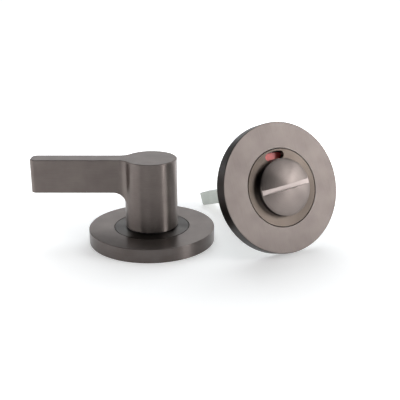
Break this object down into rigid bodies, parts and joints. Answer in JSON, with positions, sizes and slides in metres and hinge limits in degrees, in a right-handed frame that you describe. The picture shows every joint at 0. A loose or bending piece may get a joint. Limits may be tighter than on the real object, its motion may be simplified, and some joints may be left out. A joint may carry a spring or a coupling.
{
  "type": "bathroom thumb turn lock",
  "caption": "Round-rose bathroom lock set: an inside lever thumb turn and an outside coin release with a sight window and square spindle, lying off the door.",
  "frame": {"origin": "centre of the thumb turn's rose on its back face, which is midway between its two bolt holes", "axes": "+Z out of the thumb turn's rose along its turning axis, upwards; +X away from the lever, towards the release; the release leans back beside it"},
  "size_m": [0.1242, 0.0719, 0.0506],
  "materials": {
    "graphite_plate": "satin brushed graphite plating over a casting or turning",
    "zinc_plate": "pale passivated zinc plating on steel",
    "spring_steel": "oiled spring steel",
    "bush_nylon": "black moulded nylon",
    "carrier_plastic": "black moulded acetal",
    "flag_red": "red moulded plastic",
    "flag_green": "green moulded plastic"
  },
  "bodies": {
    "roses": {"turn_cover_rose": "graphite_plate", "turn_face_cup": "graphite_plate", "turn_fixing_plate": "zinc_plate", "turn_snap_ring": "spring_steel", "turn_bush": "bush_nylon", "release_cover_rose": "graphite_plate", "release_face_cup": "graphite_plate", "release_fixing_plate": "zinc_plate", "release_snap_ring": "spring_steel", "release_bush": "bush_nylon", "bolt_lug_left": "zinc_plate", "bolt_lug_right": "zinc_plate"},
    "turn": {"turn_lever": "graphite_plate", "turn_circlip": "spring_steel", "turn_wave_washer": "spring_steel"},
    "release": {"release_dome": "graphite_plate", "release_circlip": "spring_steel", "release_wave_washer": "spring_steel", "release_spindle": "zinc_plate", "indicator_disc": "carrier_plastic", "indicator_red": "flag_red", "indicator_green": "flag_green"}
  },
  "joints": [
    {"name": "turn_rotation", "type": "hinge", "parent": "roses", "child": "turn", "pos_m": [0, 0, 0.02], "axis": [0, 0, 1], "range_deg": [0, 90]},
    {"name": "release_rotation", "type": "hinge", "parent": "roses", "child": "release", "pos_m": [0.0499, -0.0074, 0.02436], "axis": [0.4355, -0.8296, 0.3494], "range_deg": [-90, 0]}
  ]
}
